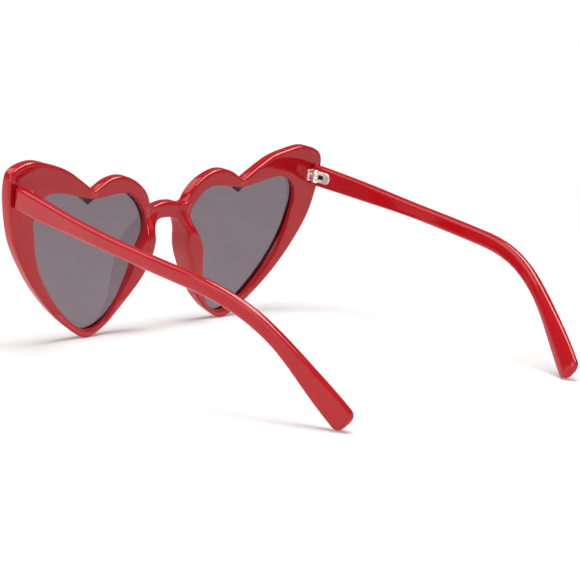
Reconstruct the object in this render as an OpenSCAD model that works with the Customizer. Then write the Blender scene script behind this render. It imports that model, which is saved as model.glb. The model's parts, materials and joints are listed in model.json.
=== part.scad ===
// Heart shaped sunglasses, open, standing on their two heart tips and two temple tips.
// Millimetres. X runs across the face, Y back along the temples, Z up.
// The front is drawn upright in its own frame, x across, d back and h up its
// slope, and stand() leans the finished pieces back onto the table.

/* [Front] */
// Width over both hearts
front_w = 142.6; // [128:0.2:154]
// Height of a heart, from its tip to the top of its outer lobe
heart_h = 64; // [57:0.2:71]
// Clear width between the hearts at the nose
nose_w = 12; // [10:0.2:15]
// Thickness of the front
front_t = 4.7; // [4.2:0.1:5.5]
// How far the outer ends of the front curve back
wrap_depth = 3; // [1:0.1:5]
// Width of the bevel round the front's outer edge
front_bevel = 1.5; // [0.8:0.1:2]
// Rounding of the front's back edges
back_round = 1.1; // [0.6:0.1:1.5]
// How far the nose pads swell behind the back face
pad_rise = 3.9; // [2:0.1:5]
// How far the nose side slants away from the nose towards the back
nose_slant_w = 1.6; // [0.8:0.1:2]

/* [Bridge] */
// Height of the top of the bridge above the heart tips
bridge_top = 45.6; // [44.5:0.1:47]
// Height of the arch under the bridge above the heart tips
bridge_under = 40.3; // [39:0.1:42]

/* [Lenses] */
// Thickness of a lens
lens_t = 1.2; // [0.9:0.1:1.5]
// Depth of the groove that holds the lens edge
groove_depth = 0.8; // [0.5:0.05:1]
// Thickness of the lip in front of the lens
front_lip_t = 1.15; // [0.8:0.05:1.4]
// Gap between a lens and its groove, all round
lens_clear = 0.05; // [0.02:0.01:0.1]
// Small rounding of the lip round each lens
lip_round = 0.3; // [0.15:0.05:0.4]

/* [Temples] */
// Length of a temple along its curve, from root to tip
temple_l = 151; // [136:0.5:158]
// Height of a temple at its root
root_h = 7.8; // [6.8:0.1:9]
// Height of a temple half way along
waist_h = 5.2; // [4.6:0.1:7]
// Height of the paddle behind the ear
paddle_h = 8.4; // [7:0.1:10]
// Thickness of a temple
temple_t = 3.2; // [2.8:0.1:4]
// Rounding of a temple's long edges
temple_edge = 1.1; // [0.5:0.1:1.3]
// Length from the root to where the ear bend starts
bend_start = 79; // [70:1:85]
// Length of the ear bend along the temple
bend_l = 53; // [45:1:60]
// Gap between the temple's root and the back of the front
butt_gap = 1.3; // [1.2:0.05:1.8]

/* [Hinges] */
// Height of a hinge leaf
leaf_h = 4.2; // [3.6:0.1:5]
// Thickness of the leaf let into the temple
temple_leaf_t = 1.2; // [0.9:0.1:1.4]
// Length of the leaf behind the screw
temple_leaf_l = 6; // [5.4:0.1:8]
// How far that leaf stands out of the temple
leaf_proud = 0.5; // [0.3:0.1:0.7]
// Thickness of the leaf on the front
frame_leaf_t = 0.9; // [0.6:0.05:1]
// Radius of a knuckle
knuckle_r = 1.3; // [1.2:0.05:1.4]
// Height of the slot between the temple leaf's two knuckles
slot_h = 1.5; // [1.2:0.1:1.8]
// Distance from the screw to the closed end of that slot
slot_l = 3; // [2.6:0.1:3.6]
// Distance from the back of the front to the screw
axis_back = 3.6; // [3.2:0.05:4]
// Distance from the temple's inner face to the screw
axis_in = 1.2; // [1.15:0.05:1.4]
// Radius of the screw's shank
screw_r = 0.6; // [0.5:0.02:0.7]
// Radius of the screw's head
screw_head_r = 1.1; // [0.9:0.05:1.2]
// Height of the screw's head
screw_head_h = 0.55; // [0.4:0.05:0.8]
// Running clearance of the screw in its bores
screw_clear = 0.04; // [0.02:0.01:0.08]
// End clearance of the middle knuckle in its slot
knuckle_clear = 0.08; // [0.04:0.01:0.12]

/* [Hidden] */

// Gap between pieces that lie against each other
seat_gap = 0.03;
// Gap round a hinge leaf in its pocket
pocket_clear = 0.05;
// How far a cut runs past what it cuts
overrun = 1;
// Width and depth of the slot in the screw's head
driver_slot_w = 0.3;
driver_slot_d = 0.25;

// Outlines of one heart. Each station is a share of the heart's width, counted
// from the nose, and of its height. They start at the notch between the lobes and
// go round by the outer lobe, the tip and the nose.
edge_shares = [
    [0.432, 0.816], [0.502, 0.866], [0.622, 0.939], [0.742, 0.979], [0.862, 1.000],
    [0.976, 0.962], [1.000, 0.876], [0.984, 0.737], [0.944, 0.587], [0.868, 0.444],
    [0.770, 0.304], [0.652, 0.175], [0.528, 0.073], [0.399, 0.000], [0.288, 0.046],
    [0.180, 0.143], [0.105, 0.256], [0.049, 0.356], [0.009, 0.459], [0.000, 0.562],
    [0.010, 0.662], [0.055, 0.770], [0.138, 0.844], [0.240, 0.884], [0.340, 0.871]
];
// The opening at the lens, with its sharp notch
opening_shares = [
    [0.440, 0.733], [0.512, 0.785], [0.620, 0.827], [0.722, 0.836], [0.798, 0.804],
    [0.832, 0.744], [0.836, 0.672], [0.822, 0.594], [0.794, 0.500], [0.744, 0.394],
    [0.674, 0.285], [0.588, 0.182], [0.493, 0.094], [0.386, 0.039], [0.282, 0.069],
    [0.198, 0.150], [0.135, 0.256], [0.089, 0.359], [0.055, 0.462], [0.044, 0.556],
    [0.060, 0.638], [0.107, 0.713], [0.184, 0.775], [0.270, 0.800], [0.356, 0.783]
];
// The opening at the back face, where the notch is only a wave and the nose side
// leans over the lens with the pad
back_opening_shares = [
    [0.432, 0.775], [0.515, 0.790], [0.620, 0.816], [0.712, 0.825], [0.782, 0.798],
    [0.813, 0.747], [0.825, 0.678], [0.811, 0.603], [0.793, 0.507], [0.752, 0.397],
    [0.680, 0.285], [0.593, 0.180], [0.496, 0.094], [0.386, 0.042], [0.285, 0.075],
    [0.224, 0.166], [0.184, 0.278], [0.156, 0.371], [0.138, 0.468], [0.089, 0.550],
    [0.067, 0.634], [0.110, 0.722], [0.184, 0.784], [0.270, 0.792], [0.356, 0.781]
];
// How much of the pad's rise each station has
pad_shares = [0, 0, 0, 0, 0, 0, 0, 0, 0, 0, 0, 0, 0, 0, 0,
              0.15, 0.65, 0.95, 1, 0.85, 0.2, 0, 0, 0, 0];

// How much of the nose splay each station has
splay_shares = [0, 0, 0, 0, 0, 0, 0, 0, 0, 0, 0, 0, 0, 0, 0,
                0.2, 0.5, 0.7, 0.8, 0.95, 0.85, 0.2, 0, 0, 0];
// How far the front bevel runs down the outer wall, in bevel widths
bevel_shares = [1, 1, 1, 1, 1, 1, 1, 1, 1, 1.1, 1.3, 1.6, 1.9, 2, 2,
                1.8, 1.4, 1, 1, 1, 1, 1, 1, 1, 1];

// Points drawn between one station and the next
steps = 4;
round_n = len(edge_shares) * steps;
// The window in the rim's outer wall that the bridge grows out of: the stations from
// the notch at its lower and upper end, and the numbers of the section's points at
// its front and its back
bridge_low_share = 18.75;
bridge_high_share = 20.5;
window_front_n = 2;
window_back_n = 6;
// How sharply the bridge turns into the rims: 2 is a wide curve, 6 a tight one
bridge_fillet = 4;
bridge_steps = 12;

// Shape of a temple in degrees: its droop and its ear bend, how it flares out at the
// root and bows back in, how its end hooks in behind the head, and how far its top
// edge leans out there
droop_deg = 2;
ear_bend_deg = 36.5;
flare_deg = 6;
bow_deg = 20;
hook_deg = 9;
paddle_lean_deg = -8.5;
// Where the temple's height reaches its waist, in lengths ahead of the ear bend, and
// where the paddle swells, in bend lengths
waist_at_share = 0.7;
paddle_from_share = 0.7;
paddle_swell_share = 0.55;
// How much of the ear bend the hook takes
hook_share = 0.5;
// Thickness and height that are left at the very tip
tip_thin_share = 0.45;
tip_flat_share = 0.1;
// Rings drawn along the straight part, the bend and the tip, and where these meet, in
// temple lengths
straight_n = 10;
bend_n = 20;
tip_n = 8;
bend_from_share = 0.55;
tip_from_share = 0.95;
tip_to_share = 0.9999;
// A quarter turn
quarter_deg = 90;

half_w = front_w / 2;
heart_w = half_w - nose_w / 2;
wrap_r = (half_w * half_w + wrap_depth * wrap_depth) / (2 * wrap_depth);
lens_front = front_t - front_lip_t;
lens_back = lens_front - lens_t - 2 * lens_clear;

// Hinge place: the screw stands behind the back face, where the temple's root is
// nearly flush with the front's outer side
root_inset = 1.5;
axis_x = half_w - root_inset - temple_t - axis_in;
axis_slope = asin(axis_x / wrap_r);
axis_d = wrapped(axis_x) + axis_back / cos(axis_slope);
axis_h_share = 0.828;
axis_h = heart_h * axis_h_share;

function wrapped(x) = wrap_r - sqrt(wrap_r * wrap_r - x * x);
function mix(a, b, t) = a + (b - a) * t;
function ease(t) = let (u = max(0, min(1, t))) u * u * (3 - 2 * u);
function unit(v) = v / norm(v);

// A smooth closed curve through a table's stations. Where cut is true the curve
// has a corner at station 0.
function curve(p, i, cut) =
    let (n = len(p), k = floor(i / steps) % n, t = i / steps - floor(i / steps),
         a = p[(k + n - 1) % n], b = p[k], c = p[(k + 1) % n], e = p[(k + 2) % n],
         ma = cut && k == 0 ? c - b : (c - a) / 2,
         mb = cut && k == n - 1 ? c - b : (e - b) / 2)
    b * (2 * pow(t, 3) - 3 * t * t + 1) + ma * (pow(t, 3) - 2 * t * t + t)
    + c * (3 * t * t - 2 * pow(t, 3)) + mb * (pow(t, 3) - t * t);
function placed(s) = [nose_w / 2 + heart_w * s[0], heart_h * s[1]];
function edge_at(i) = placed(curve(edge_shares, i, true));
function opening_at(i) = placed(curve(opening_shares, i, true));
function back_opening_at(i) = placed(curve(back_opening_shares, i, false));

// The rim's section at step i: round the front face, the outer wall, the back face
// with the pad's rise, the slope down to the lens and the lens groove
function section(i) =
    let (o = edge_at(i), f = opening_at(i), r = back_opening_at(i),
         rise = pad_rise * max(0, curve(pad_shares, i, false)),
         splay = nose_slant_w * max(0, curve(splay_shares, i, false)),
         e = unit(o - f), w = norm(o - f), back = o - e * splay,
         b = unit(back - r), v = norm(back - r),
         bevel = min(front_bevel, w * 0.4), fall = front_bevel * curve(bevel_shares, i, false),
         round_out = min(back_round, v * 0.4),
         round_in = min(back_round / 2, v * 0.25))
    [
        [f + e * lip_round, lip_round - front_t],
        [f + e * lip_round * 2.5, -front_t],
        [o - e * bevel, -front_t],
        [o - e * bevel * 0.35, fall * 0.3 - front_t],
        [o, fall * 0.9 - front_t],
        [back, rise - round_out],
        [back - b * round_out * 0.3, rise - round_out * 0.3],
        [back - b * round_out, rise],
        [mix(back, r, 0.55), rise],
        [r + b * round_in, rise * 0.92],
        [r, rise * 0.85 - round_in * 0.8],
        [f, -lens_back],
        [f + e * groove_depth, -lens_back],
        [f + e * groove_depth, -lens_front],
        [f, -lens_front]
    ];
section_n = len(section(0));
rim = [for (i = [0:round_n - 1]) let (s = section(i))
       for (q = s) [q[0][0], q[1] + wrapped(q[0][0]), q[0][1]]];

// The bridge grows out of a window in each rim's outer wall. Its rings run from the
// left window to the right one, and each point dips to a rounded section between.
low_i = round(bridge_low_share * steps);
high_i = round(bridge_high_share * steps);
window = concat(
    [for (j = [window_front_n:window_back_n - 1]) [low_i, j]],
    [for (i = [low_i:high_i - 1]) [i, window_back_n]],
    [for (j = [window_back_n:-1:window_front_n + 1]) [high_i, j]],
    [for (i = [high_i:-1:low_i + 1]) [i, window_front_n]]);
window_n = len(window);
function rounded(u, v) = let (k = pow(pow(abs(u), 4) + pow(abs(v), 4), 0.25)) [u / k, v / k];
function middle(q) =
    let (u = 2 * (q[0] - low_i) / (high_i - low_i) - 1,
         v = 2 * (q[1] - window_front_n) / (window_back_n - window_front_n) - 1,
         c = rounded(u, v))
    [-front_t / 2 + c[1] * front_t / 2,
     (bridge_top + bridge_under) / 2 + c[0] * (bridge_top - bridge_under) / 2];
bridge = [for (r = [1:bridge_steps - 1]) for (q = window)
          let (p = rim[q[0] * section_n + q[1]], m = middle(q),
               s = cos(180 * r / bridge_steps), t = pow(abs(s), bridge_fillet))
          [p[0] * s, mix(m[0], p[1], t), mix(m[1], p[2], t)]];

// Faces of the whole front: both rims, less their windows, and the bridge
function left(i, j) = (i % round_n) * section_n + j % section_n;
function right(i, j) = round_n * section_n + left(i, j);
function ring(r, k) =
    let (q = window[k % window_n])
    r == 0 ? left(q[0], q[1])
    : r == bridge_steps ? right(q[0], q[1])
    : 2 * round_n * section_n + (r - 1) * window_n + k % window_n;
function in_window(i, j) = i >= low_i && i < high_i && j >= window_front_n && j < window_back_n;
front_faces = concat(
    [for (i = [0:round_n - 1]) for (j = [0:section_n - 1]) if (!in_window(i, j))
     let (a = left(i, j), b = left(i + 1, j), c = left(i + 1, j + 1), d = left(i, j + 1))
     each [[a, c, b], [a, d, c]]],
    [for (i = [0:round_n - 1]) for (j = [0:section_n - 1]) if (!in_window(i, j))
     let (a = right(i, j), b = right(i + 1, j), c = right(i + 1, j + 1), d = right(i, j + 1))
     each [[a, b, c], [a, c, d]]],
    [for (r = [0:bridge_steps - 1]) for (k = [0:window_n - 1])
     let (a = ring(r, k), b = ring(r, k + 1), c = ring(r + 1, k + 1), d = ring(r + 1, k))
     each [[a, b, c], [a, c, d]]]);
front_points = concat(rim, [for (p = rim) [-p[0], p[1], p[2]]], bridge);

// Temple: rings along a curve whose angles change smoothly with the length s
function down(s) = droop_deg + ear_bend_deg * ease((s - bend_start) / bend_l);
function heading(s) = flare_deg - bow_deg * s / temple_l
    - hook_deg * ease((s - bend_start) / (bend_l * hook_share));
function ahead(s) = [cos(down(s)) * sin(heading(s)), cos(down(s)) * cos(heading(s)), -sin(down(s))];
function lean(s) = paddle_lean_deg * ease((s - bend_start) / bend_l);
function tall(s) =
    let (to_waist = ease(s / (bend_start * waist_at_share)),
         swell_at = bend_start + bend_l * paddle_from_share,
         to_paddle = ease((s - swell_at) / (bend_l * paddle_swell_share)))
    mix(mix(root_h, waist_h, to_waist), paddle_h, to_paddle);
ring_shares = concat(
    [for (i = [0:straight_n - 1]) mix(0, bend_from_share, i / straight_n)],
    [for (i = [0:bend_n - 1]) mix(bend_from_share, tip_from_share, i / bend_n)],
    [for (i = [0:tip_n - 1]) mix(tip_from_share, tip_to_share, sin(quarter_deg * i / (tip_n - 1)))]);
temple_s = [for (u = ring_shares) temple_l * u];
root_point = [axis_x, axis_d, axis_h] + cross(ahead(0), [0, 0, 1]) * (axis_in + temple_t / 2)
    - ahead(0) * (axis_back - butt_gap);
temple_path = [for (k = 0, p = root_point; k < len(temple_s); k = k + 1,
    p = k < len(temple_s)
        ? p + ahead((temple_s[k] + temple_s[k - 1]) / 2) * (temple_s[k] - temple_s[k - 1])
        : p) p];
tip_r = paddle_h / 2;
function tip_cut(s) = let (u = max(0, s - temple_l + tip_r) / tip_r) sqrt(max(0, 1 - u * u));
corner_steps = 3;
function temple_ring(s) =
    let (cut = tip_cut(s), a = temple_t / 2 * mix(tip_thin_share, 1, cut),
         b = max(tall(s) / 2 * cut, tip_flat_share * tip_r),
         r = min(temple_edge, a * 0.9, b * 0.9))
    [for (q = [[1, 1, 0], [-1, 1, 1], [-1, -1, 2], [1, -1, 3]])
     for (m = [0:corner_steps])
     let (t = quarter_deg * (q[2] + m / corner_steps))
     [q[0] * (a - r) + r * cos(t), q[1] * (b - r) + r * sin(t)]];
ring_n = 4 * (corner_steps + 1);
// The root is cut off flat, parallel to the back of the front
butt_normal = [-sin(axis_slope), cos(axis_slope), 0];
butt_point = [axis_x, axis_d, axis_h] - butt_normal * (axis_back - butt_gap);
function trimmed(p, t) = p + t * ((butt_point - p) * butt_normal) / (t * butt_normal);
temple_points = [for (k = [0:len(temple_s) - 1])
    let (s = temple_s[k], t = ahead(s), v0 = [tan(lean(s)), sin(down(s)), cos(down(s))],
         v = unit(v0 - t * (v0 * t)), n = cross(t, v))
    for (q = temple_ring(s))
    let (p = temple_path[k] + n * q[0] + v * q[1])
    k == 0 ? trimmed(p, t) : p];
temple_last = (len(temple_s) - 1) * ring_n;
temple_faces = concat(
    [for (k = [0:len(temple_s) - 2]) for (m = [0:ring_n - 1])
     let (a = k * ring_n + m, b = k * ring_n + (m + 1) % ring_n, c = b + ring_n, d = a + ring_n)
     each [[a, c, b], [a, d, c]]],
    [for (m = [1:ring_n - 2]) [0, m, m + 1]],
    [for (m = [1:ring_n - 2]) [temple_last, temple_last + m + 1, temple_last + m]]);

// The lean at which heart tips and temple tips all touch the table, found in a few
// steps, and the shift that brings the middle of the footprint to the origin
first_lean_deg = 8;
lean_steps = 5;
function stood_y(p, a) = p[1] * cos(a) + p[2] * sin(a);
function stood_z(p, a) = p[2] * cos(a) - p[1] * sin(a);
function lowest(points, a) = min([for (p = points) stood_z(p, a)]);
function lean_after(n, a) =
    n == 0 ? a
    : lean_after(n - 1, a - asin((lowest(front_points, a) - lowest(temple_points, a)) / temple_l));
stand_lean = lean_after(lean_steps, first_lean_deg);
all_y = [for (p = concat(front_points, temple_points)) stood_y(p, stand_lean)];
shift_y = -(min(all_y) + max(all_y)) / 2;
shift_z = -lowest(front_points, stand_lean);

// The place under the bend where an ear sits
ear_index = search(min([for (u = temple_s) if (u > bend_start + bend_l / 2) u]), temple_s)[0];

echo(stand_lean = stand_lean, shift_y = shift_y, shift_z = shift_z,
     axis = [axis_x, stood_y([0, axis_d, axis_h], stand_lean) + shift_y,
             stood_z([0, axis_d, axis_h], stand_lean) + shift_z],
     ear = let (p = temple_path[ear_index] - [0, 0, waist_h / 2])
           [p[0], stood_y(p, stand_lean) + shift_y, stood_z(p, stand_lean) + shift_z]);

module stand() {
    translate([0, shift_y, shift_z]) rotate([-stand_lean, 0, 0]) children();
}

module on_right() {
    mirror([1, 0, 0]) children();
}

// Puts a hinge piece at the left screw, turned about it
module at_hinge(turn) {
    translate([axis_x, axis_d, axis_h]) rotate([0, 0, turn]) children();
}

module front_frame() {
    color([0.74, 0.22, 0.26]) stand() polyhedron(front_points, front_faces, convexity = 12);
}

// A flat heart cut from a curved sheet
module lens() {
    mid = wrap_r + (lens_front + lens_back) / 2;
    outline = [for (i = [0:round_n - 1])
               let (o = edge_at(i), f = opening_at(i))
               f + unit(o - f) * (groove_depth - lens_clear)];
    intersection() {
        translate([0, wrap_r, 0]) difference() {
            cylinder(h = heart_h, r = mid + lens_t / 2, $fn = 900);
            translate([0, 0, -overrun])
                cylinder(h = heart_h + 2 * overrun, r = mid - lens_t / 2, $fn = 900);
        }
        translate([0, wrap_depth * 2, 0]) rotate([90, 0, 0])
            linear_extrude(height = front_t + wrap_depth * 3) polygon(outline);
    }
}

module lens_left() {
    color([0.42, 0.36, 0.38, 0.6]) stand() lens();
}

module lens_right() {
    color([0.42, 0.36, 0.38, 0.6]) stand() on_right() lens();
}

// The outline of the temple leaf, along the temple and up, round at its far end. It
// can be grown by a gap and start ahead of the screw.
module leaf_outline(gap, start) {
    translate([-start, -leaf_h / 2 - gap])
        square([start + temple_leaf_l - leaf_h / 2, leaf_h + 2 * gap]);
    translate([temple_leaf_l - leaf_h / 2, 0]) circle(r = leaf_h / 2 + gap, $fn = 48);
}

// Stands a drawing along the temple up in its plane, with its thickness outwards
module upright() {
    rotate([90, 0, 90]) children();
}

// A bar with rounded edges, swept along the ear curve, with the pocket for its leaf
module temple() {
    difference() {
        polyhedron(temple_points, temple_faces, convexity = 6);
        at_hinge(-flare_deg) translate([axis_in - leaf_proud, 0, 0]) upright()
            linear_extrude(height = temple_leaf_t + seat_gap)
                leaf_outline(pocket_clear, axis_back + overrun);
    }
}

module temple_left() {
    color([0.78, 0.2, 0.25]) stand() temple();
}

module temple_right() {
    color([0.78, 0.2, 0.25]) stand() on_right() temple();
}

// Leaf on the back of the front: a small plate and the middle knuckle
module frame_hinge() {
    mid_h = slot_h - 2 * knuckle_clear;
    at_hinge(axis_slope) difference() {
        union() {
            translate([-knuckle_r, seat_gap - axis_back, -leaf_h / 2])
                cube([knuckle_r * 2.7, frame_leaf_t, leaf_h]);
            translate([-knuckle_r * 0.8, seat_gap + frame_leaf_t / 2 - axis_back, -mid_h / 2])
                cube([knuckle_r * 1.6, axis_back - seat_gap - frame_leaf_t / 2, mid_h]);
            translate([0, 0, -mid_h / 2]) cylinder(h = mid_h, r = knuckle_r, $fn = 48);
        }
        translate([0, 0, -leaf_h])
            cylinder(h = 2 * leaf_h, r = screw_r + screw_clear, $fn = 48);
    }
}

module frame_hinge_left() {
    color([0.86, 0.83, 0.78]) stand() frame_hinge();
}

module frame_hinge_right() {
    color([0.86, 0.83, 0.78]) stand() on_right() frame_hinge();
}

// Leaf let into the temple: a U with a knuckle on each prong
module temple_hinge() {
    at_hinge(-flare_deg) difference() {
        union() {
            translate([axis_in - leaf_proud, 0, 0]) upright()
                linear_extrude(height = temple_leaf_t) leaf_outline(0, 0);
            translate([0, 0, -leaf_h / 2]) cylinder(h = leaf_h, r = knuckle_r, $fn = 48);
        }
        translate([-knuckle_r - overrun, -knuckle_r - overrun, -slot_h / 2])
            cube([knuckle_r + axis_in + temple_leaf_t + 2 * overrun,
                  slot_l + knuckle_r + overrun, slot_h]);
        translate([0, 0, -leaf_h])
            cylinder(h = 2 * leaf_h, r = screw_r + screw_clear, $fn = 48);
    }
}

module temple_hinge_left() {
    color([0.9, 0.85, 0.8]) stand() temple_hinge();
}

module temple_hinge_right() {
    color([0.9, 0.85, 0.8]) stand() on_right() temple_hinge();
}

// Screw through the three knuckles, with a slotted head on top
module hinge_screw() {
    at_hinge(-flare_deg) difference() {
        union() {
            translate([0, 0, -leaf_h / 2])
                cylinder(h = leaf_h + seat_gap + screw_head_h, r = screw_r, $fn = 48);
            translate([0, 0, leaf_h / 2 + seat_gap])
                cylinder(h = screw_head_h, r = screw_head_r, $fn = 48);
        }
        translate([-screw_head_r - overrun, -driver_slot_w / 2,
                   leaf_h / 2 + seat_gap + screw_head_h - driver_slot_d])
            cube([2 * (screw_head_r + overrun), driver_slot_w, driver_slot_d + overrun]);
    }
}

module hinge_screw_left() {
    color([0.8, 0.78, 0.75]) stand() hinge_screw();
}

module hinge_screw_right() {
    color([0.8, 0.78, 0.75]) stand() on_right() hinge_screw();
}

front_frame();
lens_left();
lens_right();
temple_left();
temple_right();
frame_hinge_left();
frame_hinge_right();
temple_hinge_left();
temple_hinge_right();
hinge_screw_left();
hinge_screw_right();
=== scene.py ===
# %% [markdown]
# # Heart shaped sunglasses
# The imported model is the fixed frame: it says where every piece is and which pieces
# turn together. This script dresses it. The bodies come first, because each new
# piece rides on one of them.

import json

import bmesh
import bpy
import numpy as np
from mathutils import Matrix

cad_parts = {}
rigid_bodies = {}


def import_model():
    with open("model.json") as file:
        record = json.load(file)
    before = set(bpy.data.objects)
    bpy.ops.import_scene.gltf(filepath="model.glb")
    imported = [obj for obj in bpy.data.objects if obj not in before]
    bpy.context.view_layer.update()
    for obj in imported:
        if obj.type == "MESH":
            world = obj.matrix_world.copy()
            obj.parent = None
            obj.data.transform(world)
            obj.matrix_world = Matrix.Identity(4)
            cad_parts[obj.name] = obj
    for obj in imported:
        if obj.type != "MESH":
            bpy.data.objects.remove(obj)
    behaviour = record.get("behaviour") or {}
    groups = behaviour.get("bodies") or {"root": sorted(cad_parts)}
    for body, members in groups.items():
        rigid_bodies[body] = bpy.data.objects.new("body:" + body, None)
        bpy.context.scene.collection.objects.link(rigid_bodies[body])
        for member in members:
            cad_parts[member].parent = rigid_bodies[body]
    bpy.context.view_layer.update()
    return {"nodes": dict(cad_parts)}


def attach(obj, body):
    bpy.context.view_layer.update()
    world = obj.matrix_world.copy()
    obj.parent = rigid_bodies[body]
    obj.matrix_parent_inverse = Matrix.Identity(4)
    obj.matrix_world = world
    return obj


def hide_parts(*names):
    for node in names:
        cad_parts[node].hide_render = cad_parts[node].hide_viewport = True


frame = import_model()
bodies = {"left": "temple_left_body", "right": "temple_right_body", "front": "front"}

# %% [markdown]
# ## The camera
# The photograph was taken from behind the wearer's left side, a little above the
# table, with a long lens. A camera could be aimed at a point with a constraint, but a
# camera in Blender looks along its own -Z, so here its turn is written as three
# directions, right, up and backwards, which also keeps the photograph's slight roll.

# %% Place the camera
sensor_w_mm, focal_mm, far_clip = 36, 105.54, 20
camera_place = (0.38845, 0.38461, 0.12202)
view_right = np.array([-0.7108, 0.7026, 0.0323])
view_ahead = np.array([-0.6960, -0.6960, -0.1766])
view_right /= np.linalg.norm(view_right)
view_back = -view_ahead / np.linalg.norm(view_ahead)
view_back -= view_right * (view_back @ view_right)
view_back /= np.linalg.norm(view_back)
view_up = np.cross(view_back, view_right)
camera = bpy.data.objects.new("camera", bpy.data.cameras.new("camera"))
bpy.context.scene.collection.objects.link(camera)
camera.data.sensor_width = sensor_w_mm
camera.data.lens = focal_mm
camera.data.clip_end = far_clip
turn = Matrix([list(row) for row in np.column_stack([view_right, view_up, view_back])])
camera.matrix_world = Matrix.Translation(camera_place) @ turn.to_4x4()
bpy.context.scene.camera = camera
print("camera is", round(camera.location.length, 3), "m from the middle")

# %% [markdown]
# ## Measurements
# The moulded pieces are drawn in millimetres in the front's own frame: x across the
# face, d back and h up the front's slope. They could be drawn leaning, but upright
# they are simpler, and one turn about x then leans the drawing back onto the table,
# with both heart tips and both temple tips on it, as in the photograph.

# %% Name the sizes
MM = 0.001
front_w, heart_h, nose_w, front_t = 142.6, 64.0, 12.0, 4.7
wrap_depth, front_bevel, back_round = 3.0, 1.5, 1.4
pad_rise, nose_splay = 3.9, 1.6
lens_t, groove_depth, front_lip_t = 1.2, 0.8, 1.15
lens_clear, lip_round = 0.05, 0.3
bridge_top, bridge_under = 45.6, 40.3
half_w = front_w / 2
heart_w = half_w - nose_w / 2
wrap_r = (half_w**2 + wrap_depth**2) / (2 * wrap_depth)
lens_front = front_t - front_lip_t
lens_back = lens_front - lens_t - 2 * lens_clear
stand_lean = np.radians(7.71189)
shift_y, shift_z = -70.9926, -0.0663582


def stand(p):
    """Leans points of the front's frame back: y = d cos + h sin, z = h cos - d sin."""
    x, d, h = np.moveaxis(np.asarray(p, float), -1, 0)
    y = d * np.cos(stand_lean) + h * np.sin(stand_lean) + shift_y
    z = h * np.cos(stand_lean) - d * np.sin(stand_lean) + shift_z
    return np.stack([x, y, z], -1) * MM


def wrapped(x):
    """How far back the front's curve is at x: radius - sqrt(radius^2 - x^2)."""
    return wrap_r - np.sqrt(wrap_r**2 - x**2)


print("a heart is", round(heart_w, 1), "mm wide")

# %% [markdown]
# ## Surfaces from grids
# Every moulded piece is a grid of points, worked out as whole arrays and put into a
# mesh in one go. A box with modifiers could be bent into shape, but a grid follows the
# section exactly. Smooth shading hides the grid, and edges that turn by more than a
# given angle stay crisp, as the lips of a moulding are.


# %% Turn points and faces into a piece
def make_piece(name, points, faces, crisp_deg=40.0):
    """A mesh object from standing points in metres and a list of index lists."""
    mesh = bpy.data.meshes.new(name)
    mesh.from_pydata(points.tolist(), [], faces)
    mesh.validate()
    mesh.shade_smooth()
    mesh.set_sharp_from_angle(angle=np.radians(crisp_deg))
    piece = bpy.data.objects.new(name, mesh)
    bpy.context.scene.collection.objects.link(piece)
    print(name, len(mesh.vertices), "points,", len(mesh.polygons), "faces")
    return piece


def grid_faces(rows, columns, start=0, close_rows=False, close_columns=True, skip=None):
    """Quads between neighbouring rows and columns, numbered from start on. Where rows or
    columns close up, the last one is joined to the first."""
    row_steps = np.arange(rows if close_rows else rows - 1)
    column_steps = np.arange(columns if close_columns else columns - 1)
    i, j = np.meshgrid(row_steps, column_steps, indexing="ij")
    if skip is not None:
        keep = ~skip(i, j)
        i, j = i[keep], j[keep]
    i, j = i.ravel(), j.ravel()
    i2, j2 = (i + 1) % rows, (j + 1) % columns
    quads = np.stack([i * columns + j, i2 * columns + j, i2 * columns + j2, i * columns + j2], 1)
    return quads + start


# %% [markdown]
# ## The heart's outlines
# A heart is a closed curve with one corner, the notch. It could be built from arcs,
# but this one leans and swells unevenly. So each outline is a short table of stations,
# as shares of the heart's width and height, and a smooth curve is run through them.
# The outer edge, the opening at the lens and the opening at the back face share their
# stations, so a section can be carried from one to the next.

# %% Tables of stations
edge_shares = np.array([
    [0.432, 0.816], [0.502, 0.866], [0.622, 0.939], [0.742, 0.979], [0.862, 1.000],
    [0.976, 0.962], [1.000, 0.876], [0.984, 0.737], [0.944, 0.587], [0.868, 0.444],
    [0.770, 0.304], [0.652, 0.175], [0.528, 0.073], [0.399, 0.000], [0.288, 0.046],
    [0.180, 0.143], [0.105, 0.256], [0.049, 0.356], [0.009, 0.459], [0.000, 0.562],
    [0.010, 0.662], [0.055, 0.770], [0.138, 0.844], [0.240, 0.884], [0.340, 0.871]])
opening_shares = np.array([
    [0.440, 0.733], [0.512, 0.785], [0.620, 0.827], [0.722, 0.836], [0.798, 0.804],
    [0.832, 0.744], [0.836, 0.672], [0.822, 0.594], [0.794, 0.500], [0.744, 0.394],
    [0.674, 0.285], [0.588, 0.182], [0.493, 0.094], [0.386, 0.039], [0.282, 0.069],
    [0.198, 0.150], [0.135, 0.256], [0.089, 0.359], [0.055, 0.462], [0.044, 0.556],
    [0.060, 0.638], [0.107, 0.713], [0.184, 0.775], [0.270, 0.800], [0.356, 0.783]])
back_opening_shares = np.array([
    [0.432, 0.775], [0.515, 0.790], [0.620, 0.816], [0.712, 0.825], [0.782, 0.798],
    [0.813, 0.747], [0.825, 0.678], [0.811, 0.603], [0.793, 0.507], [0.752, 0.397],
    [0.680, 0.285], [0.593, 0.180], [0.496, 0.094], [0.386, 0.042], [0.285, 0.075],
    [0.224, 0.166], [0.184, 0.278], [0.156, 0.371], [0.138, 0.468], [0.089, 0.550],
    [0.067, 0.634], [0.110, 0.722], [0.184, 0.784], [0.270, 0.792], [0.356, 0.781]])
seat_notch_shares = [[0.436, 0.778]]
seat_shares = np.vstack([seat_notch_shares, opening_shares[1:]])
pad_shares = np.array([0.0] * 15 + [0.1, 0.6, 0.92, 1, 0.97, 0.02, 0, 0, 0, 0])
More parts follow.
